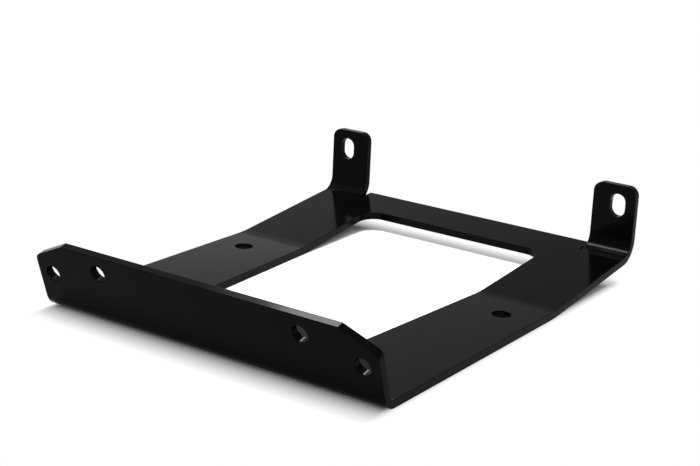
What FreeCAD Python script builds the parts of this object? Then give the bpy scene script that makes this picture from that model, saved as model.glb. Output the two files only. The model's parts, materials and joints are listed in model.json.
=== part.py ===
import FreeCAD
import Part
import math
import os
import Sketcher

# Plow mount plate for a quad bike: one steel sheet, cut to its outline and folded up three times.
# X runs across the sheet, Y from the front flange to the rear tabs, Z up.
# The features are drawn with the front fold's lower corner line as their zero.
# The body's placement then puts the part frame's origin under the middle of the part.

NODE = "mount_plate"

# Driving sizes in millimetres, angles in degrees
SIZES = {
    # the sheet and its folds
    "sheet_width": 241.0,
    "thickness": 5.0,
    "bend_radius": 10.0,
    "middle_bend_radius": 100.0,
    "front_length": 183.2,
    "rear_length": 109.3,
    "rear_rise": 6.25,
    # the flange that leans forward
    "flange_height": 46.7,
    "flange_lean": 17.3,
    "corner_cut_run": 23.3,
    "corner_cut_drop": 10.9,
    "corner_cut_blend": 5.0,
    "outer_hole_inset": 11.1,
    "outer_hole_height": 25.6,
    "hole_pair_spacing": 38.1,
    "inner_hole_height": 35.0,
    "bolt_hole": 10.2,
    # the hole in each rail
    "rail_hole": 12.0,
    "rail_hole_inset": 22.0,
    "rail_hole_place": 156.4,
    # the window
    "window_front": 54.5,
    "window_front_width": 119.7,
    "window_fold_width": 134.7,
    "window_rear_width": 140.0,
    "window_corner": 12.0,
    # the cross bar and the relief cuts beside the tabs
    "crossbar_depth": 31.0,
    "relief_width": 1.6,
    "crossbar_corner": 1.2,
    # the tabs
    "tab_width": 30.3,
    "tab_height": 48.9,
    "tab_corner": 6.5,
    "slot_inset": 12.6,
    "slot_height": 35.1,
    "slot_width": 11.0,
    "slot_length": 15.4,
}

document = FreeCAD.newDocument("plow_mount")
sheet = document.addObject("Spreadsheet::Sheet", "sizes")
for row, (name, value) in enumerate(SIZES.items(), start=1):
    sheet.set(f"A{row}", name)
    sheet.set(f"B{row}", str(value))
    sheet.setAlias(f"B{row}", name)
document.recompute()


def size(name):
    """The value of one driving size, read from the sheet."""
    return float(sheet.get(name))


body = document.addObject("PartDesign::Body", NODE)
body.Label = NODE


def origin_plane(role):
    """One of the body's own origin planes."""
    for feature in body.Origin.OriginFeatures:
        if feature.Role == role:
            return feature
    raise RuntimeError("no origin plane " + role)


def new_sketch(name, role="XY_Plane", height=None, slope=None, along=None):
    """A sketch on an origin plane, or on that plane turned about X to lie along a folded part.

    along and height are expressions for the Y and Z of its zero, slope for its angle to the floor.
    """
    sketch = body.newObject("Sketcher::SketchObject", name)
    sketch.AttachmentSupport = [(origin_plane(role), "")]
    sketch.MapMode = "FlatFace"
    if slope:
        turned = FreeCAD.Rotation(FreeCAD.Vector(1, 0, 0), 1.0)
        sketch.AttachmentOffset = FreeCAD.Placement(FreeCAD.Vector(), turned)
        sketch.setExpression("AttachmentOffset.Rotation.Angle", slope)
    if along:
        sketch.setExpression("AttachmentOffset.Base.y", along)
    if height:
        sketch.setExpression("AttachmentOffset.Base.z", height)
    return sketch


def bind(sketch, kind, references, name, expression, start):
    """Add a named constraint whose value is an expression of the sheet."""
    number = sketch.addConstraint(Sketcher.Constraint(kind, *references, start))
    sketch.renameConstraint(number, name)
    sketch.setExpression("Constraints." + name, expression)


def closed_outline(sketch, corners, rounded=()):
    """A closed outline; each corner is (name, x expression, y expression) and is bound to both.

    The side that starts at a corner named in rounded is a half circle, bulging to its right.
    """
    points = [FreeCAD.Vector(evaluate(x), evaluate(y), 0) for _, x, y in corners]
    first = sketch.GeometryCount
    count = len(corners)
    up = FreeCAD.Vector(0, 0, 1)
    for k, (name, _, _) in enumerate(corners):
        start = points[k]
        end = points[(k + 1) % count]
        if name in rounded:
            middle = (start + end) / 2 + (end - start).cross(up) / 2
            sketch.addGeometry(Part.Arc(start, middle, end))
        else:
            sketch.addGeometry(Part.LineSegment(start, end))
    for k in range(count):
        after = first + (k + 1) % count
        sketch.addConstraint(Sketcher.Constraint("Coincident", first + k, 2, after, 1))
    for k, (name, x, y) in enumerate(corners):
        place_point(sketch, first + k, 1, name, x, y)
        if name in rounded:
            following = corners[(k + 1) % count]
            centre_y = f"(({y}) + ({following[2]})) / 2"
            middle_y = evaluate(centre_y)
            bind(sketch, "DistanceY", (-1, 1, first + k, 3), name + "_centre", centre_y, middle_y)


def place_point(sketch, geometry, point, name, x, y):
    """Bind a point of the sketch to its x and y expressions."""
    for kind, axis, expression in (("DistanceX", "x", x), ("DistanceY", "y", y)):
        value = evaluate(expression)
        bind(sketch, kind, (-1, 1, geometry, point), f"{name}_{axis}", expression, value)


def evaluate(expression):
    """What an expression of the sheet comes to."""
    result = sheet.evalExpression(expression.replace("sizes.", ""))
    return float(getattr(result, "Value", result))


def circle(sketch, name, x, y, diameter):
    """A round hole at (x, y)."""
    centre = FreeCAD.Vector(evaluate(x), evaluate(y), 0)
    across = evaluate(diameter)
    up = FreeCAD.Vector(0, 0, 1)
    number = sketch.addGeometry(Part.Circle(centre, up, across / 2))
    place_point(sketch, number, 3, name, x, y)
    bind(sketch, "Diameter", (number,), name + "_across", diameter, across)


def cut(name, sketch):
    """Cut a sketch right through the sheet, both ways from its plane."""
    document.recompute()
    before = body.Shape.Volume
    pocket = body.newObject("PartDesign::Pocket", name)
    pocket.Profile = sketch
    pocket.Type = "Length"
    pocket.SideType = "Symmetric"
    pocket.setExpression("Length", "2 * (sizes.rear_length + sizes.tab_height)")
    document.recompute()
    removed = before - body.Shape.Volume
    if removed <= 0:
        raise RuntimeError(name + " removes nothing")
    print(f"{name}: {removed:.0f} mm3 removed")
    return pocket


def round_edges(name, picks, radius):
    """Fillet the edges that a test picks out of the body's present shape."""
    document.recompute()
    base = body.Tip
    edges = [f"Edge{k}" for k, edge in enumerate(base.Shape.Edges, start=1) if picks(edge)]
    fillet = body.newObject("PartDesign::Fillet", name)
    fillet.Base = (base, edges)
    fillet.setExpression("Radius", radius)
    document.recompute()
    print(f"{name}: {len(edges)} edges")
    return fillet


# The fold lines, seen from the side as (Y, Z)

RISE = math.radians(size("rear_rise"))
LEAN = math.radians(size("flange_lean"))
ALONG_FLANGE = FreeCAD.Vector(0, -math.sin(LEAN), math.cos(LEAN))
ALONG_FRONT = FreeCAD.Vector(0, 1, 0)
ALONG_REAR = FreeCAD.Vector(0, math.cos(RISE), math.sin(RISE))
ALONG_TAB = FreeCAD.Vector(0, 0, 1)
FRONT_FOLD = FreeCAD.Vector(0, 0, 0)
MIDDLE_FOLD = FRONT_FOLD + ALONG_FRONT * size("front_length")
REAR_FOLD = MIDDLE_FOLD + ALONG_REAR * size("rear_length")


def upper_corner(corner, along_before, along_after):
    """The fold's corner on the upper side of the sheet, above its corner on the underside."""
    half_turn = along_before.getAngle(along_after) / 2
    back = (along_after - along_before).normalize()
    return corner + back * (size("thickness") / math.cos(half_turn))


FRONT_INSIDE = upper_corner(FRONT_FOLD, ALONG_FLANGE * -1, ALONG_FRONT)
MIDDLE_INSIDE = upper_corner(MIDDLE_FOLD, ALONG_FRONT, ALONG_REAR)
REAR_INSIDE = upper_corner(REAR_FOLD, ALONG_REAR, ALONG_TAB)

# The sheet from the side, with sharp folds

side = new_sketch("side_profile", "YZ_Plane")
FLANGE_TOP = FRONT_FOLD + ALONG_FLANGE * size("flange_height")
TAB_TOP = REAR_FOLD + ALONG_TAB * size("tab_height")
ACROSS_FLANGE = FreeCAD.Vector(0, math.cos(LEAN), math.sin(LEAN)) * size("thickness")
ACROSS_TAB = FreeCAD.Vector(0, -1, 0) * size("thickness")
outline = [
    FRONT_FOLD, MIDDLE_FOLD, REAR_FOLD, TAB_TOP, TAB_TOP + ACROSS_TAB,
    REAR_INSIDE, MIDDLE_INSIDE, FRONT_INSIDE, FLANGE_TOP + ACROSS_FLANGE, FLANGE_TOP,
]
flat = [FreeCAD.Vector(point.y, point.z, 0) for point in outline]
for k, point in enumerate(flat):
    side.addGeometry(Part.LineSegment(point, flat[(k + 1) % len(flat)]))
for k in range(len(flat)):
    side.addConstraint(Sketcher.Constraint("Coincident", k, 2, (k + 1) % len(flat), 1))

# the ten lines, in the order of the outline
(UNDER_FRONT, UNDER_REAR, TAB_BACK, TAB_END, TAB_FACE,
 OVER_REAR, OVER_FRONT, FLANGE_BACK, FLANGE_END, FLANGE_FACE) = range(len(flat))
side.addConstraint(Sketcher.Constraint("Coincident", UNDER_FRONT, 1, -1, 1))
side.addConstraint(Sketcher.Constraint("Horizontal", UNDER_FRONT))
side.addConstraint(Sketcher.Constraint("Horizontal", OVER_FRONT))
side.addConstraint(Sketcher.Constraint("Vertical", TAB_BACK))
side.addConstraint(Sketcher.Constraint("Parallel", UNDER_REAR, OVER_REAR))
side.addConstraint(Sketcher.Constraint("Parallel", TAB_BACK, TAB_FACE))
side.addConstraint(Sketcher.Constraint("Parallel", FLANGE_FACE, FLANGE_BACK))
side.addConstraint(Sketcher.Constraint("Perpendicular", TAB_BACK, TAB_END))
side.addConstraint(Sketcher.Constraint("Perpendicular", FLANGE_FACE, FLANGE_END))
for name, line, expression in (
        ("front_length", UNDER_FRONT, "sizes.front_length"),
        ("rear_length", UNDER_REAR, "sizes.rear_length"),
        ("tab_height", TAB_BACK, "sizes.tab_height"),
        ("flange_height", FLANGE_FACE, "sizes.flange_height"),
        ("tab_thickness", TAB_END, "sizes.thickness"),
        ("flange_thickness", FLANGE_END, "sizes.thickness")):
    bind(side, "Distance", (line,), name, expression, evaluate(expression))
thickness = size("thickness")
bind(side, "DistanceY", (-1, 1, OVER_FRONT, 2), "front_thickness", "sizes.thickness", thickness)
bind(side, "Distance", (OVER_REAR, 1, UNDER_REAR), "rear_thickness", "sizes.thickness", thickness)
bind(side, "Angle", (-1, 1, UNDER_REAR, 1), "rear_angle", "sizes.rear_rise * 1deg", RISE)
bind(side, "Angle", (-1, 1, FLANGE_FACE, 2), "flange_angle",
     "(90 + sizes.flange_lean) * 1deg", math.pi / 2 + LEAN)

folded = body.newObject("PartDesign::Pad", "folded_sheet")
folded.Profile = side
folded.SideType = "Symmetric"
folded.setExpression("Length", "sizes.sheet_width")

# The three folds, rounded inside and outside about the same centre lines
# The slight middle fold is the gentlest: it spreads over a wide strip of the sheet


def at_corner(corners):
    """Picks the edges that run across the sheet through any of these corners."""
    def picks(edge):
        if not isinstance(edge.Curve, (Part.Line, Part.LineSegment)):
            return False
        middle = edge.CenterOfMass
        middle.x = 0
        return any((middle - corner).Length < thickness / 10 for corner in corners)
    return picks


round_edges("inner_folds", at_corner([FRONT_INSIDE, REAR_INSIDE]), "sizes.bend_radius")
round_edges("outer_folds", at_corner([FRONT_FOLD, REAR_FOLD]),
            "sizes.bend_radius + sizes.thickness")
round_edges("middle_fold_inside", at_corner([MIDDLE_INSIDE]), "sizes.middle_bend_radius")
round_edges("middle_fold_outside", at_corner([MIDDLE_FOLD]),
            "sizes.middle_bend_radius + sizes.thickness")

# The window between the rails

HALF_WIDTH = "(sizes.sheet_width / 2)"
WINDOW_REAR = "(sizes.rear_length - sizes.crossbar_depth)"
WINDOW_REAR_Y = f"(sizes.front_length + {WINDOW_REAR} * cos(sizes.rear_rise))"
window = new_sketch("window_outline")
closed_outline(window, [
    ("front_right", "sizes.window_front_width / 2", "sizes.window_front"),
    ("fold_right", "sizes.window_fold_width / 2", "sizes.front_length"),
    ("rear_right", "sizes.window_rear_width / 2", WINDOW_REAR_Y),
    ("rear_left", "-sizes.window_rear_width / 2", WINDOW_REAR_Y),
    ("fold_left", "-sizes.window_fold_width / 2", "sizes.front_length"),
    ("front_left", "-sizes.window_front_width / 2", "sizes.window_front"),
])
cut("window", window)

# The gap between the tabs, with a round-ended relief beside each tab

REAR_TURN = "(90 - sizes.rear_rise)"
FOLD_START = f"(sizes.rear_length - (sizes.bend_radius + sizes.thickness) * tan({REAR_TURN} / 2))"
PAST_TABS = "(sizes.rear_length + sizes.tab_height)"
TAB_SIDE = f"({HALF_WIDTH} - sizes.tab_width)"
BAR_END = f"({TAB_SIDE} - sizes.relief_width)"
gap = new_sketch("tab_gap", slope="sizes.rear_rise * 1deg", along="sizes.front_length")
closed_outline(gap, [
    ("left_far", f"-{TAB_SIDE}", PAST_TABS),
    ("left_relief", f"-{TAB_SIDE}", FOLD_START),
    ("left_relief_in", f"-{BAR_END}", FOLD_START),
    ("right_relief", BAR_END, FOLD_START),
    ("right_relief_out", TAB_SIDE, FOLD_START),
    ("right_far", TAB_SIDE, PAST_TABS),
], rounded=("left_relief", "right_relief"))
cut("between_tabs", gap)

# The relief cuts leave the cross bar flat, so it runs on past the start of the tabs' folds

lip = new_sketch("crossbar_lip", slope="sizes.rear_rise * 1deg", along="sizes.front_length")
closed_outline(lip, [
    ("front_left", f"-{BAR_END}", FOLD_START),
    ("front_right", BAR_END, FOLD_START),
    ("rear_right", BAR_END, "sizes.rear_length"),
    ("rear_left", f"-{BAR_END}", "sizes.rear_length"),
])
crossbar = body.newObject("PartDesign::Pad", "crossbar_rear")
crossbar.Profile = lip
crossbar.setExpression("Length", "sizes.thickness")
document.recompute()

# The two cut corners of the flange

FLANGE_SLOPE = "(90 + sizes.flange_lean) * 1deg"
OVER_FLANGE = "(sizes.flange_height + sizes.thickness)"
BESIDE_SHEET = f"({HALF_WIDTH} + sizes.thickness)"
corners = new_sketch("flange_corners", slope=FLANGE_SLOPE)
CORNER_LOW = "(sizes.flange_height - sizes.corner_cut_drop)"
CORNER_IN = f"({HALF_WIDTH} - sizes.corner_cut_run)"
for side_name, sign in (("right", ""), ("left", "-")):
    closed_outline(corners, [
        (side_name + "_top", f"{sign}{CORNER_IN}", "sizes.flange_height"),
        (side_name + "_side", f"{sign}{HALF_WIDTH}", CORNER_LOW),
        (side_name + "_out", f"{sign}{BESIDE_SHEET}", CORNER_LOW),
        (side_name + "_over", f"{sign}{BESIDE_SHEET}", OVER_FLANGE),
        (side_name + "_above", f"{sign}{CORNER_IN}", OVER_FLANGE),
    ])
cut("cut_corners", corners)

# Round holes: four through the flange, one through each rail

OUTER_HOLE = f"({HALF_WIDTH} - sizes.outer_hole_inset)"
INNER_HOLE = f"({OUTER_HOLE} - sizes.hole_pair_spacing)"
RAIL_HOLE = f"({HALF_WIDTH} - sizes.rail_hole_inset)"
flange_holes = new_sketch("flange_holes", slope=FLANGE_SLOPE)
rail_holes = new_sketch("rail_holes")
for side_name, sign in (("right", ""), ("left", "-")):
    circle(flange_holes, side_name + "_outer", f"{sign}{OUTER_HOLE}",
           "sizes.outer_hole_height", "sizes.bolt_hole")
    circle(flange_holes, side_name + "_inner", f"{sign}{INNER_HOLE}",
           "sizes.inner_hole_height", "sizes.bolt_hole")
    circle(rail_holes, side_name, f"{sign}{RAIL_HOLE}",
           "sizes.rail_hole_place", "sizes.rail_hole")
cut("flange_bores", flange_holes)
cut("rail_bores", rail_holes)

# An upright slot through each tab

REAR_FOLD_Y = "(sizes.front_length + sizes.rear_length * cos(sizes.rear_rise))"
REAR_FOLD_Z = "(sizes.rear_length * sin(sizes.rear_rise))"
slots = new_sketch("tab_slots", slope="90deg", along=REAR_FOLD_Y, height=REAR_FOLD_Z)
STRAIGHT = "((sizes.slot_length - sizes.slot_width) / 2)"
for side_name, sign in (("right", ""), ("left", "-")):
    middle = f"{sign}({HALF_WIDTH} - sizes.slot_inset)"
    closed_outline(slots, [
        (side_name + "_up", f"{middle} + sizes.slot_width / 2", f"sizes.slot_height - {STRAIGHT}"),
        (side_name + "_top", f"{middle} + sizes.slot_width / 2", f"sizes.slot_height + {STRAIGHT}"),
        (side_name + "_down", f"{middle} - sizes.slot_width / 2", f"sizes.slot_height + {STRAIGHT}"),
        (side_name + "_base", f"{middle} - sizes.slot_width / 2", f"sizes.slot_height - {STRAIGHT}"),
    ], rounded=(side_name + "_top", side_name + "_base"))
cut("slots", slots)

# Corners rounded through the sheet


def through_edges(places):
    """Picks the straight edges that cross the sheet's thickness at any of these middle points."""
    def picks(edge):
        return any((edge.CenterOfMass - place).Length < thickness / 10 for place in places)
    return picks


def both_sides(x, point):
    """The point at +x and at -x."""
    return [FreeCAD.Vector(x, point.y, point.z), FreeCAD.Vector(-x, point.y, point.z)]


ACROSS_REAR = FreeCAD.Vector(0, -math.sin(RISE), math.cos(RISE)) * thickness
UPRIGHT_FRONT = FreeCAD.Vector(0, 0, thickness)
UPRIGHT_REAR = FreeCAD.Vector(0, 0, thickness / math.cos(RISE))
window_front = FRONT_FOLD + ALONG_FRONT * size("window_front") + UPRIGHT_FRONT / 2
window_rear = MIDDLE_FOLD + ALONG_REAR * evaluate(WINDOW_REAR) + UPRIGHT_REAR / 2
round_edges("window_corners", through_edges(
    both_sides(size("window_front_width") / 2, window_front)
    + both_sides(size("window_rear_width") / 2, window_rear)), "sizes.window_corner")

tab_end = TAB_TOP + ACROSS_TAB / 2
round_edges("tab_corners", through_edges(
    both_sides(evaluate(HALF_WIDTH), tab_end)
    + both_sides(evaluate(TAB_SIDE), tab_end)), "sizes.tab_corner")

crossbar_end = REAR_FOLD + ACROSS_REAR / 2
round_edges("crossbar_corners", through_edges(
    both_sides(evaluate(BAR_END), crossbar_end)), "sizes.crossbar_corner")

cut_corner_low = FRONT_FOLD + ALONG_FLANGE * evaluate(CORNER_LOW) + ACROSS_FLANGE / 2
round_edges("cut_corner_blends", through_edges(
    both_sides(evaluate(HALF_WIDTH), cut_corner_low)), "sizes.corner_cut_blend")

# The part frame: its origin is on the floor, under the middle of the part's length and width

body.setExpression("Placement.Base.y",
                   f"(sizes.flange_height * sin(sizes.flange_lean) - {REAR_FOLD_Y}) / 2")
document.recompute()

# Every object is checked before the part is written

for item in document.Objects:
    if {"Invalid", "Error"} & set(item.State):
        raise RuntimeError(f"{item.Name} failed: {item.State}")
if body.Shape.isNull() or not body.Shape.isValid() or len(body.Shape.Solids) != 1:
    raise RuntimeError(NODE + " is not one valid solid")

os.makedirs("parts", exist_ok=True)
body.Shape.exportStep(f"parts/{body.Label}.step")
box = body.Shape.BoundBox
print(f"{NODE}: {box.XLength:.2f} x {box.YLength:.2f} x {box.ZLength:.2f} mm")
print(f"volume {body.Shape.Volume:.0f} mm3, steel mass {body.Shape.Volume * 7.85e-6:.3f} kg")
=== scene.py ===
# %% [markdown]
# # A folded steel plow mount plate
#
# The object is one sheet of steel, cut to its outline, folded up at the front and at the two rear
# tabs, folded a little across the middle, and powder coated black. The CAD model holds its shape.
# This script gives that shape its coated skin, its finish, its light and its camera. The skin
# departs from the CAD model in two places, the front fold and the window's front edge, where the
# photograph shows something else.

# %% Load the fixed frame
import json
import math

import bpy
from mathutils import Matrix, Vector

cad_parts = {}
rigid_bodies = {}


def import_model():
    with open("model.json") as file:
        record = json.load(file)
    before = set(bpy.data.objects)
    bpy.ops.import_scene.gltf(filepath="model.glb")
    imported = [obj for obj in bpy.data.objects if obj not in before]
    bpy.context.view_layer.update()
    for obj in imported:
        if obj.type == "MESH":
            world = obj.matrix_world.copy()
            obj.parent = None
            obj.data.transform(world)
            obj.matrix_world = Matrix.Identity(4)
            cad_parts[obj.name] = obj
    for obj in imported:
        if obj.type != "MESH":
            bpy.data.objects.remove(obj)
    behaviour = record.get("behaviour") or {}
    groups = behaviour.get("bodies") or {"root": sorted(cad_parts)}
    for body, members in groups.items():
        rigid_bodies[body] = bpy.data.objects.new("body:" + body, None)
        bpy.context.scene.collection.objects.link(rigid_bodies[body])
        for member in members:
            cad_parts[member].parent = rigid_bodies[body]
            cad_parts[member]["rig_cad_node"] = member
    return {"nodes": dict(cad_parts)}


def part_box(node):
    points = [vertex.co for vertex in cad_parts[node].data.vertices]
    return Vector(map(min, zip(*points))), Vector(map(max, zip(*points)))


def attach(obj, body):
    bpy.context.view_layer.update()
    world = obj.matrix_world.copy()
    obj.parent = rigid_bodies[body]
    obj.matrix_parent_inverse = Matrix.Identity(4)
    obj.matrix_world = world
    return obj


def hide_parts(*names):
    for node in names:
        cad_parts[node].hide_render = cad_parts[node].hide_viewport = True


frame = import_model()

NODE = "mount_plate"
PLATE_LOW, PLATE_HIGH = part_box(NODE)
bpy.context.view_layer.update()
WIDTH, LENGTH, HEIGHT = PLATE_HIGH - PLATE_LOW
print(f"plate {WIDTH * 1000:.1f} x {LENGTH * 1000:.1f} x {HEIGHT * 1000:.1f} mm")

# %% [markdown]
# ## The camera
#
# The photograph looks down on the plate from its front right, from about a metre away with a long
# lens, so parallel edges hardly close up. A camera could be aimed with a Track To constraint, but
# its small roll would then need an empty of its own. Here its turn is built from three plain
# rotations: the roll about its own axis, the tilt down from level, and the turn round the plate.

# %% Place the camera
LENS_MM = 78.179
SENSOR_MM = 36.0
CLIP_START = 0.05
CAMERA_AT = Vector((0.50324, -0.74215, 0.31357))
CAMERA_TURN = math.radians(34.2280)
CAMERA_DOWN = math.radians(17.0325)
CAMERA_ROLL = math.radians(2.5563)

bpy.ops.object.select_all(action="DESELECT")
bpy.ops.object.camera_add()
camera = bpy.context.object
camera.name = "photo_camera"
camera.data.sensor_width = SENSOR_MM
camera.data.lens = LENS_MM
camera.data.clip_start = CLIP_START
turn = Matrix.Rotation(CAMERA_TURN, 4, "Z")
tilt = Matrix.Rotation(math.pi / 2 - CAMERA_DOWN, 4, "X")
roll = Matrix.Rotation(CAMERA_ROLL, 4, "Z")
camera.matrix_world = Matrix.Translation(CAMERA_AT) @ turn @ tilt @ roll
bpy.context.scene.camera = camera
print("camera", [round(value, 3) for value in camera.location])

# %% [markdown]
# ## The coated skin
#
# A laser leaves the sheet's cut edges square, and the powder coat then rounds them off: the melted
# powder pulls back from a sharp corner and leaves a soft edge about as wide as the coat is thick
# several times over. Those soft edges catch the light, so a square edge would look wrong.
#
# The skin could be modelled again from its outline, but a copy of the CAD mesh starts out exact. It
# comes as loose triangles, so its corners are merged first, and flat triangles are joined into
# larger faces, which lets a Bevel modifier round every rim evenly. The Weighted Normal modifier
# keeps the large flat faces flat to the light, and the folds round.

# %% Copy the node's mesh and clean it
MERGE_DISTANCE = 0.00001
FLAT_ANGLE = math.radians(0.05)

bpy.ops.object.select_all(action="DESELECT")
node = frame["nodes"][NODE]
node.select_set(True)
bpy.context.view_layer.objects.active = node
bpy.ops.object.duplicate()
skin = bpy.context.object
skin.name = "coated_plate"
skin.data.name = "coated_plate"
del skin["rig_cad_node"]
bpy.ops.mesh.customdata_custom_splitnormals_clear()
bpy.ops.object.mode_set(mode="EDIT")
bpy.ops.mesh.select_all(action="SELECT")
bpy.ops.mesh.remove_doubles(threshold=MERGE_DISTANCE)
bpy.ops.mesh.dissolve_limited(angle_limit=FLAT_ANGLE)
bpy.ops.object.mode_set(mode="OBJECT")
print(f"{len(skin.data.vertices)} corners, {len(skin.data.polygons)} faces")

# %% [markdown]
# ## The front fold
#
# The CAD model gives the front fold and the tabs' folds one radius. The photograph shows the front
# fold pressed tighter: its outer edge comes down lower and is darker below. All points of the fold
# lie on two arcs about one centre line. Moving each point straight towards or away from that line,
# and the line itself with them, gives a tighter fold that still runs smoothly into both flat sides.

# %% Tighten the front fold
FLANGE_LEAN = math.radians(17.3)
FLANGE_HEIGHT = 0.0467
FOLD_RADII = (0.010, 0.015)
FOLD_TIGHTER = 0.005
ARC_TOLERANCE = 0.00002
BEND_SLACK = 0.01

half_turn = (math.pi / 2 - FLANGE_LEAN) / 2
fold_line = PLATE_LOW.y + FLANGE_HEIGHT * math.sin(FLANGE_LEAN)
wide = max(FOLD_RADII)
tight = wide - FOLD_TIGHTER
old_centre = Vector((0, fold_line + wide * math.tan(half_turn), wide))
new_centre = Vector((0, fold_line + tight * math.tan(half_turn), tight))
moved = 0
for corner in skin.data.vertices:
    across = Vector((corner.co.x, 0, 0))
    spoke = corner.co - across - old_centre
    bend = math.atan2(-spoke.y, -spoke.z)
    on_arc = any(abs(spoke.length - radius) < ARC_TOLERANCE for radius in FOLD_RADII)
    if on_arc and -BEND_SLACK < bend < 2 * half_turn + BEND_SLACK:
        corner.co = across + new_centre + spoke * (1 - FOLD_TIGHTER / spoke.length)
        moved += 1
print(f"{moved} points moved")

# %% [markdown]
# ## The window's front edge
#
# The flange hides the window's front edge, and the CAD model guesses its place. But through the
# flange's inner hole on the right the photograph shows grey bed where that model's window would
# show white floor, so the edge lies farther back. The right rail's inner edge still runs straight
# where the flange's cut corner hides it, so the window's corners are tighter too. Each corner's
# points shrink towards its sharp corner and move back along the window's slanting side.

# %% Move the window's front edge back
WINDOW_FRONT = 0.0545
HALF_FRONT = 0.05985
CORNER_REACH = 0.014
CORNER_SHRINK = 0.54
MOVE_BACK = 0.009
SIDE_SLANT = 0.0583
SIDE_MARGIN = 0.002
FRONT_MARGIN = 0.0001

moved = 0
for corner in skin.data.vertices:
    side = math.copysign(1, corner.co.x)
    sharp = Vector((side * HALF_FRONT, fold_line + WINDOW_FRONT, corner.co.z))
    spread = corner.co - sharp
    in_window = abs(corner.co.x) < HALF_FRONT + SIDE_MARGIN
    if in_window and -FRONT_MARGIN < spread.y < CORNER_REACH:
        back = Vector((side * SIDE_SLANT * MOVE_BACK, MOVE_BACK, 0))
        corner.co = sharp + spread * CORNER_SHRINK + back
        moved += 1
print(f"{moved} points moved")

# %% Round the rims and smooth the folds
EDGE_ROUNDING = 0.0003
ROUNDING_SEGMENTS = 5
RIM_ANGLE = math.radians(50)
SMOOTH_ANGLE = math.radians(24)

bpy.ops.object.shade_smooth_by_angle(angle=SMOOTH_ANGLE)
rounding = skin.modifiers.new("edge_rounding", "BEVEL")
rounding.width = EDGE_ROUNDING
rounding.segments = ROUNDING_SEGMENTS
rounding.limit_method = "ANGLE"
rounding.angle_limit = RIM_ANGLE
rounding.use_clamp_overlap = False
rounding.loop_slide = False
bpy.ops.object.modifier_apply(modifier="edge_rounding")
bpy.ops.object.shade_smooth_by_angle(angle=SMOOTH_ANGLE)
evening = skin.modifiers.new("even_normals", "WEIGHTED_NORMAL")
evening.keep_sharp = True
bpy.ops.object.modifier_apply(modifier="even_normals")
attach(skin, "root")
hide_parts(NODE)
print(f"skin: {len(skin.data.vertices)} corners, {len(skin.data.polygons)} faces")

# %% [markdown]
# ## Black powder coat
#
# Powder coat is plastic powder melted on to the steel in an oven. It sets to a hard black skin with
# a semi-gloss surface, which is never quite flat: it keeps a fine ripple called orange peel.

# %% Powder coat material
COAT_BLACK = (0.0014, 0.0014, 0.0015, 1.0)
COAT_SPECULAR = 0.029
COAT_ROUGHNESS = 0.12
PEEL_SCALE = 420.0
PEEL_DETAIL = 1.0
PEEL_STRENGTH = 0.25
PEEL_DEPTH = 0.00002

coat =bpy.data.materials.new("black_powder_coat")
coat.use_nodes = True
nodes = coat.node_tree.nodes
links = coat.node_tree.links
shader = nodes["Principled BSDF"]
shader.inputs["Base Color"].default_value = COAT_BLACK
shader.inputs["Specular IOR Level"].default_value = COAT_SPECULAR
shader.inputs["Roughness"].default_value = COAT_ROUGHNESS

place = nodes.new("ShaderNodeTexCoord")
peel = nodes.new("ShaderNodeTexNoise")
peel.inputs["Scale"].default_value = PEEL_SCALE
peel.inputs["Detail"].default_value = PEEL_DETAIL
links.new(place.outputs["Object"], peel.inputs["Vector"])
bump = nodes.new("ShaderNodeBump")
bump.inputs["Strength"].default_value = PEEL_STRENGTH
bump.inputs["Distance"].default_value = PEEL_DEPTH
# the noise node's first output has had two names
peel_output = "Factor" if "Factor" in peel.outputs else "Fac"
links.new(peel.outputs[peel_output], bump.inputs["Height"])
links.new(bump.outputs["Normal"], shader.inputs["Normal"])

skin.data.materials.clear()
skin.data.materials.append(coat)
print("materials:", [material.name for material in skin.data.materials])

# %% [markdown]
# ## Floor
#
# The plate lies on a white table. Under the plate the floor is a plain white surface that takes the
# plate's own shadow. From the front fold line on it turns into a glow at full white over about two
# centimetres, and almost at once beside the rails and under the tabs. This fade is painted: it
# follows a box round the plate and was set to match the photograph, so the grey in front of the
# flange comes mostly from it. Lamps alone could make the table that bright, but they would wash out
# the black coat. The glow is there for the camera, for reflections and for rays through glass.

# %% Floor
FLOOR_SIZE = 12.0
FLOOR_WHITE = (0.93, 0.93, 0.93, 1.0)
FULL_WHITE = 1.0

bpy.ops.object.select_all(action="DESELECT")
bpy.ops.mesh.primitive_plane_add(size=FLOOR_SIZE, location=(0, 0, 0))
floor = bpy.context.object
floor.name = "floor"

paper = bpy.data.materials.new("white_table")
paper.use_nodes = True
nodes = paper.node_tree.nodes
links = paper.node_tree.links
nodes.remove(nodes["Principled BSDF"])
matt = nodes.new("ShaderNodeBsdfDiffuse")
matt.inputs["Color"].default_value = FLOOR_WHITE
glow = nodes.new("ShaderNodeEmission")
glow.inputs["Strength"].default_value = FULL_WHITE
floor.data.materials.append(paper)

# %% Distance from the shaded part of the floor
SHADED_MIDDLE = (0.0, -0.0095, 0.0)
SHADED_HALF = (0.1165, 0.1295, 0.0)
SIDES_STEEPER = 3.0
ZERO = (0.0, 0.0, 0.0)


def vector_step(operation, source, value=ZERO):
    """Work on a vector in the floor's nodes, and return the new node."""
    step = nodes.new("ShaderNodeVectorMath")
    step.operation = operation
    step.inputs[1].default_value = value
    links.new(source, step.inputs[0])
    return step


place = nodes.new("ShaderNodeTexCoord")
centred = vector_step("SUBTRACT", place.outputs["Object"], SHADED_MIDDLE)
both_sides = vector_step("ABSOLUTE", centred.outputs["Vector"])
beyond = vector_step("SUBTRACT", both_sides.outputs["Vector"], SHADED_HALF)
outside = vector_step("MAXIMUM", beyond.outputs["Vector"])
steeper = vector_step("MULTIPLY", outside.outputs["Vector"], (SIDES_STEEPER, 1, 0))
away = vector_step("LENGTH", steeper.outputs["Vector"])

# %% From shadow to white
WHITE_FROM = 0.021


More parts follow.
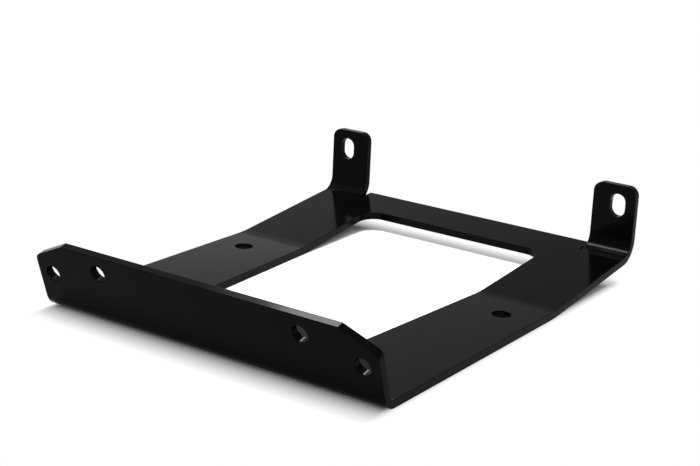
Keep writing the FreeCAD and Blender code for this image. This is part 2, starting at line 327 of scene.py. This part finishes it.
def value_step(operation, first, second):
    """Join two values in the floor's nodes, kept between 0 and 1."""
    step = nodes.new("ShaderNodeMath")
    step.operation = operation
    step.use_clamp = True
    links.new(first, step.inputs[0])
    links.new(second, step.inputs[1])
    return step.outputs["Value"]


# painted shade: this fade, not the lamps, makes most of the grey on the floor in front of the
# flange and beside the rails, by mixing the lit floor into white with distance from the box
painted_shade_fade = nodes.new("ShaderNodeMapRange")
painted_shade_fade.inputs["From Max"].default_value = WHITE_FROM
links.new(away.outputs["Value"], painted_shade_fade.inputs["Value"])
rays = nodes.new("ShaderNodeLightPath").outputs
seen = value_step("ADD", rays["Is Camera Ray"], rays["Is Glossy Ray"])
seen = value_step("ADD", seen, rays["Is Transmission Ray"])
share = value_step("MULTIPLY", painted_shade_fade.outputs["Result"], seen)
blend = nodes.new("ShaderNodeMixShader")
links.new(share, blend.inputs["Fac"])
links.new(matt.outputs["BSDF"], blend.inputs[1])
links.new(glow.outputs["Emission"], blend.inputs[2])
links.new(blend.outputs["Shader"], nodes["Material Output"].inputs["Surface"])
print("floor is white from", WHITE_FROM, "m in front of the front fold line")

# %% [markdown]
# ## Light
#
# Black powder coat shows little but reflections, so the room is built from what each face reflects.
# It is a plain gradient of light greys: palest low down, where the flat front part of the plate
# reflects it, duller above that for the raised rear part, and lighter again overhead. It is
# brighter on the left, as if a window were there. Four round lamps hang close together above the
# left half: a wide shade with a bright middle, a part to its left, and a soft glow that reaches
# farther left along the flange's top edge. They make the light line in the right tab's fold, the
# light patch on the flange's top edge and the bright bits in the flange's holes.

# %% Room
# each stop's height in the room, from level at 0 to straight up at 1, and its tone
ROOM_TONES = (
    (0.293, 0.85), (0.300, 0.76), (0.307, 0.63), (0.314, 0.42),
    (0.328, 0.47), (0.40, 0.57), (0.48, 0.50), (0.60, 0.65), (0.68, 0.80),
)
NEW_STOP_AT = 0.5

world = bpy.data.worlds.new("room")
bpy.context.scene.world = world
world.use_nodes = True
nodes = world.node_tree.nodes
links = world.node_tree.links
background = nodes["Background"]
place = nodes.new("ShaderNodeTexCoord")
split = nodes.new("ShaderNodeSeparateXYZ")
links.new(place.outputs["Generated"], split.inputs["Vector"])
ramp = nodes.new("ShaderNodeValToRGB")
while len(ramp.color_ramp.elements) < len(ROOM_TONES):
    ramp.color_ramp.elements.new(NEW_STOP_AT)
for stop, (height, tone) in zip(ramp.color_ramp.elements, ROOM_TONES):
    stop.position = height
    stop.color = (tone, tone, tone, 1)
links.new(split.outputs["Z"], ramp.inputs["Fac"])
links.new(ramp.outputs["Color"], background.inputs["Color"])

# %% Brighter to the left
LEFT_UP_TO = -0.60
RIGHT_FROM = -0.42
LEFT_TONE = 1.56
RIGHT_TONE = 1.00

sideways = nodes.new("ShaderNodeMapRange")
sideways.inputs["From Min"].default_value = LEFT_UP_TO
sideways.inputs["From Max"].default_value = RIGHT_FROM
sideways.inputs["To Min"].default_value = LEFT_TONE
sideways.inputs["To Max"].default_value = RIGHT_TONE
links.new(split.outputs["X"], sideways.inputs["Value"])
links.new(sideways.outputs["Result"], background.inputs["Strength"])

# %% Lamps
# each lamp's place, width in metres and power in watts
ROUND_LAMPS = {
    "lamp_shade": ((-0.120, 0.045, 0.412), 0.22, 0.50),
    "lamp_middle": ((-0.080, 0.040, 0.408), 0.11, 1.00),
    "lamp_left_part": ((-0.170, 0.072, 0.410), 0.13, 0.80),
    "lamp_glow": ((-0.200, 0.060, 0.414), 0.20, 0.30),
}
for name, (at, width, power) in ROUND_LAMPS.items():
    bpy.ops.object.select_all(action="DESELECT")
    bpy.ops.object.light_add(type="AREA", location=at)
    lamp = bpy.context.object
    lamp.name = name
    lamp.data.shape = "DISK"
    lamp.data.size = width
    lamp.data.energy = power
print("lamps:", list(ROUND_LAMPS))

# %% Colour management
bpy.context.scene.view_settings.view_transform = "Standard"
